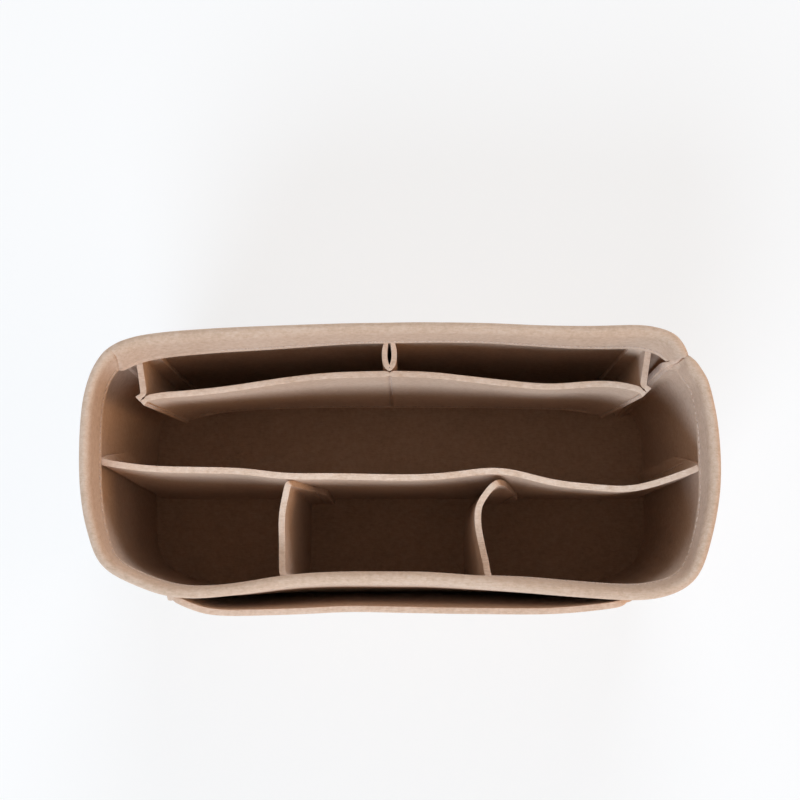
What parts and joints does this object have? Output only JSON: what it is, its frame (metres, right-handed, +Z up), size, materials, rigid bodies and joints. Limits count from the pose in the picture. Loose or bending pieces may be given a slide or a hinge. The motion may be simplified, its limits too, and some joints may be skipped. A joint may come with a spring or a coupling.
{
  "type": "purse organizer insert",
  "caption": "Open-topped felt box that stands inside a handbag, with a folded hem, a long divider, short dividers, a box pocket with a pen loop and flat outer pockets.",
  "frame": {"origin": "middle of the underside, at the centre of the bounding box", "axes": "+X along the insert's length, +Y towards the back wall with the box pocket, +Z up out of the open top"},
  "size_m": [0.2996, 0.1458, 0.16],
  "materials": {
    "felt": "beige needle felt, matt, raw cut edges"
  },
  "bodies": {
    "root": {"base_panel": "felt", "wall_wrap": "felt", "back_wall": "felt", "long_divider": "felt", "short_divider_left": "felt", "short_divider_right": "felt", "inner_pocket_panel": "felt", "inner_pocket_gusset_left": "felt", "inner_pocket_gusset_right": "felt", "inner_pocket_bottom": "felt", "pen_loop": "felt", "outer_pocket_front": "felt", "outer_pocket_back": "felt"}
  },
  "joints": []
}
